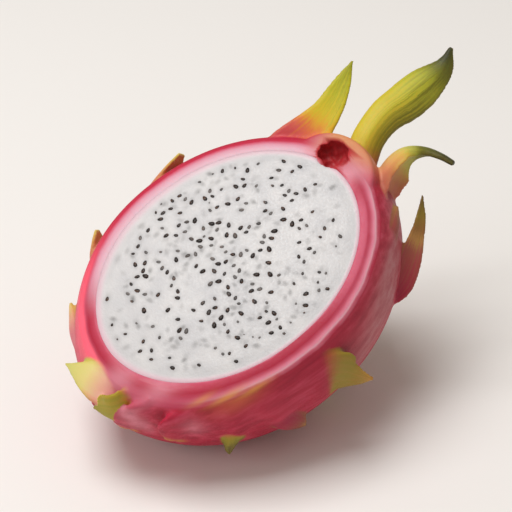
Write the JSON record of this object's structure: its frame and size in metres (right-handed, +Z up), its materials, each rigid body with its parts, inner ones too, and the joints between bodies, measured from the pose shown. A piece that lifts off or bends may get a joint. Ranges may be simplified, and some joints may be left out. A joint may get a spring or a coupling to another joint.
{
  "type": "dragon fruit",
  "caption": "Lengthwise-cut dragon fruit: a scaly pink rind with green-tipped crown bracts around seeded white flesh, lying on its flattened belly.",
  "frame": {"origin": "on the surface the fruit lies on, under the middle of its bounding box", "axes": "+X along the fruit's axis, seen from above, towards the crown bracts; +Z up; the cut face leans towards -Y"},
  "size_m": [0.149, 0.098, 0.1068],
  "materials": {
    "rind": "waxy satin fruit skin, pink to maroon, with green-tipped scales",
    "flesh": "moist translucent white pulp with small black seeds"
  },
  "bodies": {
    "root": {"rind": "rind", "flesh": "flesh"}
  },
  "joints": []
}
